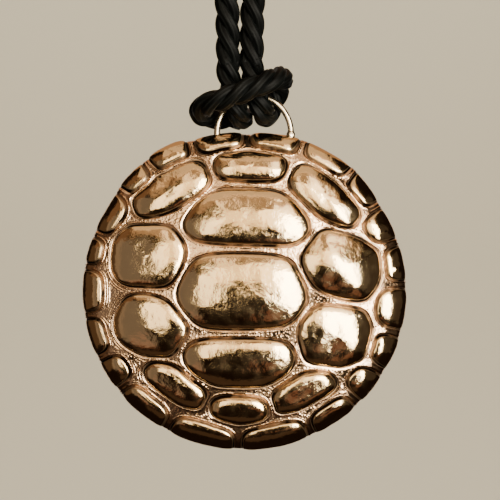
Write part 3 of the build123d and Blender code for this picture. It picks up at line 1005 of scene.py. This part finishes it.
def gilt_casting():
    """Gilt brass, cast and hand polished: mirror-like plates, matt bands, dark film in the grooves."""
    colours = settings("finishes")
    material, tree, shader = new_material("gilt_brass_cast_polished", {"Metallic": 1.0})
    coordinates = add_node(tree, "TexCoord", {}).outputs["Object"]
    edge = add_node(tree, "Attribute", {"attribute_name": "plate_edge"}).outputs["Fac"]
    plate = add_node(tree, "MapRange", {
        "interpolation_type": "SMOOTHSTEP", "Value": edge, "From Min": 0.03, "From Max": 0.30})
    foot = add_node(tree, "Math", {"operation": "SUBTRACT", 0: edge, 1: 0.05})
    distance = add_node(tree, "Math", {"operation": "ABSOLUTE", 0: foot})
    groove = add_node(tree, "MapRange", {
        "interpolation_type": "SMOOTHSTEP", "Value": distance, "From Min": 0.10, "From Max": 0.26,
        "To Min": 1.0, "To Max": 0.0})
    blotches = add_node(tree, "TexNoise", {"Vector": coordinates, "Scale": per(4.5), "Detail": 4.0})
    film = add_node(tree, "MapRange", {
        "Value": blotches, "From Min": 0.40, "From Max": 0.54, "To Min": 0.55})
    in_groove = add_node(tree, "Math", {"operation": "MULTIPLY", 0: groove, 1: film})
    grain = add_node(tree, "TexNoise", {"Vector": coordinates, "Scale": per(0.3), "Detail": 4.0})
    beads = add_node(tree, "TexVoronoi", {"Vector": coordinates, "Scale": per(0.48)})
    pits = add_node(tree, "MapRange", {"Value": beads, "From Min": 0.34, "From Max": 0.56, "To Max": 0.97})
    spots = add_node(tree, "Attribute", {"attribute_name": "grainy"}).outputs["Fac"]
    coarse = add_node(tree, "MapRange", {"Value": spots, "To Min": 0.14})
    band = add_node(tree, "MapRange", {"Value": edge, "From Min": -0.25, "From Max": -0.5})
    rough_band = add_node(tree, "Math", {"operation": "MULTIPLY", 0: coarse, 1: band})
    in_pits = add_node(tree, "Math", {"operation": "MULTIPLY", 0: pits, 1: rough_band})
    # Fine ridges beside the plates, where the bands are ridged: millimetres from crest to crest.
    ridge_pitch = 0.42
    ridge_turn = add_node(tree, "Math", {
        "operation": "MULTIPLY_ADD", 0: edge, 1: 2 * math.pi / ridge_pitch, 2: 0.30})
    ridges = add_node(tree, "Math", {"operation": "COSINE", 0: ridge_turn})
    ridged = add_node(tree, "Attribute", {"attribute_name": "ridged"}).outputs["Fac"]
    beside = add_node(tree, "MapRange", {"Value": edge, "From Min": -0.14, "From Max": -0.24})
    within = add_node(tree, "MapRange", {"Value": edge, "From Min": -1.6, "From Max": -1.3})
    reach = add_node(tree, "Math", {"operation": "MULTIPLY", 0: beside, 1: within})
    ridge_share = add_node(tree, "Math", {"operation": "MULTIPLY", 0: reach, 1: ridged})
    troughs = add_node(tree, "MapRange", {
        "Value": ridges, "From Min": -0.3, "From Max": -0.95, "To Max": 0.8})
    in_troughs = add_node(tree, "Math", {"operation": "MULTIPLY", 0: troughs, 1: ridge_share})
    dark_spots = add_node(tree, "Math", {"operation": "MAXIMUM", 0: in_troughs, 1: in_pits})
    dark = add_node(tree, "Math", {"operation": "MAXIMUM", 0: in_groove, 1: dark_spots})
    gilt = add_node(tree, "Mix", {
        "data_type": "RGBA", 0: plate, 6: colours.gilt_band, 7: colours.gilt_plate})
    colour = add_node(tree, "Mix", {"data_type": "RGBA", 0: dark, 6: gilt.outputs[2], 7: colours.patina})

    polish = add_node(tree, "TexNoise", {"Vector": coordinates, "Scale": per(1.8), "Detail": 5.0})
    plate_rough = add_node(tree, "MapRange", {
        "Value": polish, "From Min": 0.3, "From Max": 0.7, "To Min": 0.07, "To Max": 0.18})
    line = add_node(tree, "Math", {"operation": "ADD", 0: edge, 1: 0.44})
    off_line = add_node(tree, "Math", {"operation": "ABSOLUTE", 0: line})
    band_rough = add_node(tree, "MapRange", {
        "Value": off_line, "From Min": 0.06, "From Max": 0.22, "To Min": 0.12, "To Max": 0.17})
    clean_rough = add_node(tree, "Mix", {"data_type": "FLOAT", 0: plate, 2: band_rough, 3: plate_rough})
    rough = add_node(tree, "Mix", {"data_type": "FLOAT", 0: dark, 2: clean_rough, 3: 0.6})

    scratches = add_node(tree, "Mapping", {
        "Vector": coordinates, "Rotation": (0.0, 0.6, 0.0), "Scale": (1.0, 1.0, 0.12)})
    brushed = add_node(tree, "TexNoise", {"Vector": scratches, "Scale": per(0.16), "Detail": 3.0})
    skin = add_node(tree, "Mix", {"data_type": "FLOAT", 0: plate, 2: grain, 3: brushed})
    depth = add_node(tree, "MapRange", {"Value": rough_band, "To Min": 0.04})
    dimples = add_node(tree, "TexNoise", {"Vector": coordinates, "Scale": per(1.1), "Detail": 4.0})
    polished = add_node(tree, "Bump", {"Height": dimples, "Distance": 0.12 * MM, "Strength": 0.5})
    lined = add_node(tree, "Bump", {
        "Height": ridges, "Distance": 0.06 * MM, "Strength": ridge_share, "Normal": polished})
    fine = add_node(tree, "Bump", {
        "Height": skin, "Distance": 0.14 * MM, "Strength": depth, "Normal": lined})
    beaded = add_node(tree, "Bump", {
        "Height": beads, "Distance": 0.30 * MM, "invert": True, "Strength": rough_band, "Normal": fine})
    fill(tree, shader, {"Base Color": colour.outputs[2], "Roughness": rough, "Normal": beaded})
    return material


def tumbled_brass():
    """Gilt brass, as cast and tumbled: the hollow's soft satin gloss with a fine sandy skin."""
    colours = settings("finishes")
    material, tree, shader = new_material("gilt_brass_cast_tumbled", {"Metallic": 1.0})
    coordinates = add_node(tree, "TexCoord", {}).outputs["Object"]
    stains = add_node(tree, "TexNoise", {"Vector": coordinates, "Scale": per(5.0), "Detail": 5.0})
    share = add_node(tree, "MapRange", {"Value": stains, "From Min": 0.45, "From Max": 0.75, "To Max": 0.45})
    colour = add_node(tree, "Mix", {
        "data_type": "RGBA", 0: share, 6: colours.gilt_back, 7: colours.patina})
    rough = add_node(tree, "MapRange", {"Value": stains, "To Min": 0.32, "To Max": 0.55})
    sand = add_node(tree, "TexNoise", {"Vector": coordinates, "Scale": per(0.4), "Detail": 4.0})
    bump = add_node(tree, "Bump", {"Height": sand, "Distance": 0.06 * MM, "Strength": 0.5})
    fill(tree, shader, {"Base Color": colour.outputs[2], "Roughness": rough, "Normal": bump})
    return material


def drawn_wire():
    """Gilt brass wire, drawn: pale and glossy, with a duller skin in spots."""
    if "gilt_brass_wire_drawn" in bpy.data.materials:
        return bpy.data.materials["gilt_brass_wire_drawn"]
    colours = settings("finishes")
    material, tree, shader = new_material("gilt_brass_wire_drawn", {"Metallic": 1.0})
    coordinates = add_node(tree, "TexCoord", {}).outputs["Object"]
    spots = add_node(tree, "TexNoise", {"Vector": coordinates, "Scale": per(0.9), "Detail": 4.0})
    share = add_node(tree, "MapRange", {"Value": spots, "From Min": 0.5, "From Max": 0.8, "To Max": 0.5})
    colour = add_node(tree, "Mix", {
        "data_type": "RGBA", 0: share, 6: colours.gilt_wire, 7: colours.patina})
    rough = add_node(tree, "MapRange", {"Value": spots, "To Min": 0.16, "To Max": 0.36})
    bump = add_node(tree, "Bump", {"Height": spots, "Distance": 0.03 * MM, "Strength": 0.4})
    fill(tree, shader, {"Base Color": colour.outputs[2], "Roughness": rough, "Normal": bump})
    return material


def twisted_yarn():
    """Nylon yarn, spun and dyed black: soft sheen along the fibres, greyer in random fibres from wear, with a
    painted highlight on the yarns' crests and painted shade in the grooves between them.
    """
    if "black_nylon_yarn_twisted" in bpy.data.materials:
        return bpy.data.materials["black_nylon_yarn_twisted"]
    colours = settings("finishes")
    material, tree, shader = new_material("black_nylon_yarn_twisted", {
        "Roughness": 0.5, "IOR": 1.53, "Specular IOR Level": 0.1})
    strand = add_node(tree, "Attribute", {"attribute_name": "straight_strand"}).outputs["Vector"]
    drawn_out = add_node(tree, "Mapping", {"Vector": strand, "Scale": (1.0, 1.0, 0.05)})
    fibres = add_node(tree, "TexNoise", {"Vector": drawn_out, "Scale": per(0.14), "Detail": 3.0})
    crest = add_node(tree, "Attribute", {"attribute_name": "yarn_crest"}).outputs["Fac"]
    # Painted highlight: the crest share greys the yarns' crests and leaves painted shade in the grooves; the
    # fibre noise adds grey from wear.
    crest_highlight_and_wear = add_node(tree, "Math", {"operation": "MULTIPLY_ADD", 0: crest, 1: 0.16, 2: fibres})
    wear_and_crest_highlight = add_node(tree, "MapRange", {"Value": crest_highlight_and_wear, "From Min": 0.56, "From Max": 0.80})
    colour = add_node(tree, "Mix", {
        "data_type": "RGBA", 0: wear_and_crest_highlight, 6: colours.yarn, 7: colours.yarn_dust})
    bump = add_node(tree, "Bump", {"Height": fibres, "Distance": 0.08 * MM, "Strength": 0.9})
    fill(tree, shader, {"Base Color": colour.outputs[2], "Normal": bump})
    return material


def brushed_sleeve():
    """Gilt brass tube, cut and brushed round: satin gloss in fine rings, brighter with wear in patches."""
    colours = settings("finishes")
    material, tree, shader = new_material("gilt_brass_tube_brushed", {"Metallic": 1.0})
    coordinates = add_node(tree, "TexCoord", {}).outputs["Object"]
    rings = add_node(tree, "Mapping", {"Vector": coordinates, "Scale": (1.0, 0.04, 0.04)})
    brushed = add_node(tree, "TexNoise", {"Vector": rings, "Scale": per(0.12), "Detail": 3.0})
    wear = add_node(tree, "TexNoise", {"Vector": coordinates, "Scale": per(3.0), "Detail": 4.0})
    colour = add_node(tree, "Mix", {
        "data_type": "RGBA", 0: wear, 6: colours.gilt_plate, 7: colours.gilt_band})
    rough = add_node(tree, "MapRange", {"Value": wear, "To Min": 0.2, "To Max": 0.42})
    bump = add_node(tree, "Bump", {"Height": brushed, "Distance": 0.02 * MM, "Strength": 0.6})
    fill(tree, shader, {"Base Color": colour.outputs[2], "Roughness": rough, "Normal": bump})
    return material


def painted_wall():
    """Matt wall paint: even and without gloss."""
    material, tree, shader = new_material("matt_wall_paint", {"Roughness": 0.95})
    coordinates = add_node(tree, "TexCoord", {}).outputs["Object"]
    clouds = add_node(tree, "TexNoise", {"Vector": coordinates, "Scale": 1.5})
    wall = settings("finishes").wall
    shaded = [0.94 * c for c in wall[:3]] + [1.0]
    colour = add_node(tree, "Mix", {"data_type": "RGBA", 0: clouds, 6: wall, 7: shaded})
    fill(tree, shader, {"Base Color": colour.outputs[2]})
    return material


def studio_cove():
    """The plain floor, which curves up into the wall behind."""
    front, floor = -1.2, -1.5
    wall, top = 3.6, 3.0
    bend, half, steps = 1.2, 5.0, 24
    profile = [(front, floor), (wall - bend, floor)]
    for step in range(1, steps + 1):
        turn = math.pi / 2 * step / steps
        profile.append((wall - bend + bend * math.sin(turn), floor + bend - bend * math.cos(turn)))
    profile.append((wall, top))
    points = [(x, y, z) for y, z in profile for x in (-half, half)]
    faces = [(2 * i, 2 * i + 1, 2 * i + 3, 2 * i + 2) for i in range(len(profile) - 1)]
    return mesh_object("studio_cove", points, faces, painted_wall())


def lamp(name, azimuth, elevation, distance, width, height, colour, watts, target):
    """A soft rectangular lamp that faces the pendant and doesn't show itself."""
    light = bpy.data.lights.new(name, "AREA")
    light.shape = "RECTANGLE"
    light.size, light.size_y = width, height
    light.color = linear(colour)[:3]
    light.energy = watts
    holder = bpy.data.objects.new(name, light)
    bpy.context.scene.collection.objects.link(holder)
    a, e = math.radians(azimuth), math.radians(elevation)
    way = Vector((math.sin(a) * math.cos(e), -math.cos(a) * math.cos(e), math.sin(e)))
    holder.location = target + way * distance
    holder.rotation_mode = "QUATERNION"
    holder.rotation_quaternion = way.to_track_quat("Z", "Y")
    holder.visible_camera = False
    return holder


def photo_camera(target):
    """The camera of the photo: straight in front, with the picture's width at the medallion's rim."""
    distance, picture, rim_y = 0.6, 92.3 * MM, 5.3 * MM
    camera = bpy.data.cameras.new("photo_camera")
    camera.sensor_width = 36
    camera.lens = camera.sensor_width * distance / picture
    camera.clip_start, camera.clip_end = 0.01, 50
    holder = bpy.data.objects.new("photo_camera", camera)
    bpy.context.scene.collection.objects.link(holder)
    pixel = picture / PHOTO_PIXELS
    # Where the medallion's middle is in the photo, in pixels.
    medallion_x, medallion_y = 244.5, 291.5
    middle = PHOTO_PIXELS / 2
    holder.location = (target.x + (middle - medallion_x) * pixel, rim_y - distance,
                       target.z + (medallion_y - middle) * pixel)
    holder.rotation_euler = (math.pi / 2, 0, 0)
    bpy.context.scene.camera = holder


class PENDANT_OT_stage(bpy.types.Operator):
    """Makes the camera, the lamps and the plain studio"""

    bl_idname = "pendant.stage"
    bl_label = "Stage"

    def execute(self, context):
        dome = Dome(settings("medallion"))
        photo_camera(dome.centre)
        for row in LAMPS:
            lamp(*row, target=dome.centre)
        cove = studio_cove()
        cove.visible_glossy = False
        for name, azimuth, elevation, distance, width, height, watts in COVE_LAMPS:
            wash = lamp(name, azimuth, elevation, distance, width, height, "#FFF8EE", watts, COVE_MIDDLE)
            wash.visible_glossy = False
        world = bpy.data.worlds.new("dim_room")
        world.use_nodes = True
        tree = world.node_tree
        background = tree.nodes["Background"]
        seen = add_node(tree, "LightPath", {}).outputs["Is Camera Ray"]
        colour = add_node(tree, "Mix", {
            "data_type": "RGBA", 0: seen, 6: linear("#1B120C"), 7: linear("#B5AC9A")})
        fill(tree, background, {"Color": colour.outputs[2]})
        context.scene.world = world
        return {"FINISHED"}


class PENDANT_OT_medallion(bpy.types.Operator):
    """Makes the cast medallion with its relief"""

    bl_idname = "pendant.medallion"
    bl_label = "Medallion"

    def execute(self, context):
        piece = cast_medallion()
        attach(piece, "pendant")
        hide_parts("medallion")
        return {"FINISHED"}


class PENDANT_OT_bail(bpy.types.Operator):
    """Makes the wire bail and its drop of solder"""

    bl_idname = "pendant.bail"
    bl_label = "Bail"

    def execute(self, context):
        for piece in (gilt_bail(), solder_drop()):
            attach(piece, "pendant")
        return {"FINISHED"}


class PENDANT_OT_cord(bpy.types.Operator):
    """Makes the neck cord and the knot"""

    bl_idname = "pendant.cord"
    bl_label = "Cord and knot"

    def execute(self, context):
        cord = settings("cord")
        left, right = eye_phase(0, -cord.drop), eye_phase(math.pi, -cord.drop)
        pieces = []
        # The hanging sides start inside the knot's ends, so their strands start that much earlier.
        lapped = 2 * math.pi * cord.lap / cord.lay
        for name, side, phase in (("cord_left", -1, left), ("cord_right", 1, right)):
            line = smooth_route(name + "_line", neck_route(side))
            piece = twisted_cord(name + "_strands", line, NECK_STEP, phase + lapped)
            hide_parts(name)
            pieces.append(piece)
        # The knot's cord starts in line with the left side's strands, and is turned a little on its way
        # so that they end in line with the right side's.
        line = smooth_route("knot_line", knot_route())
        sample, along = evenly(line, KNOT_STEP)
        end_side = carried(sample, (1, 0, 0))[1][-1]
        turned = math.atan2(end_side[1], end_side[0]) - left - 2 * math.pi * along[-1] / cord.lay
        third = 2 * math.pi / 3
        untwist = (right - turned + third / 2) % third - third / 2
        knot = twisted_cord("knot_strands", line, KNOT_STEP, -left, untwist, cord.knot_tighten)
        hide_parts("knot")
        for piece in (*pieces, knot):
            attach(piece, "necklace")
        return {"FINISHED"}


class PENDANT_OT_sleeve(bpy.types.Operator):
    """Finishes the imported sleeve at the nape"""

    bl_idname = "pendant.sleeve"
    bl_label = "Sleeve"

    def execute(self, context):
        mesh = frame["nodes"]["nape_sleeve"].data
        mesh.materials.clear()
        mesh.materials.append(brushed_sleeve())
        return {"FINISHED"}


class PENDANT_PT_pieces(bpy.types.Panel):
    """Lists the pieces of the pendant"""

    bl_idname = "PENDANT_PT_pieces"
    bl_label = "Tortoise-shell pendant"
    bl_space_type = "VIEW_3D"
    bl_region_type = "UI"
    bl_category = "Pendant"

    def draw(self, context):
        for operator in OPERATORS:
            self.layout.operator(operator.bl_idname)
        for group, sizes in GROUPS.items():
            box = self.layout.box()
            for name in sizes.__annotations__:
                box.prop(settings(group), name)


OPERATORS = (PENDANT_OT_stage, PENDANT_OT_medallion, PENDANT_OT_bail, PENDANT_OT_cord, PENDANT_OT_sleeve)
GROUPS = {"medallion": MedallionSizes, "bail": BailSizes, "cord": CordSizes, "finishes": Finishes}
CLASSES = (*GROUPS.values(), *OPERATORS, PENDANT_PT_pieces)


def register():
    for cls in CLASSES:
        bpy.utils.register_class(cls)
    for group, sizes in GROUPS.items():
        setattr(bpy.types.Scene, "pendant_" + group, PointerProperty(type=sizes))


def unregister():
    for group in GROUPS:
        delattr(bpy.types.Scene, "pendant_" + group)
    for cls in reversed(CLASSES):
        bpy.utils.unregister_class(cls)


def main():
    """Makes every piece in order."""
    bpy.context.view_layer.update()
    register()
    bpy.ops.pendant.stage()
    bpy.ops.pendant.medallion()
    bpy.ops.pendant.bail()
    bpy.ops.pendant.cord()
    bpy.ops.pendant.sleeve()


if __name__ == "__main__":
    main()
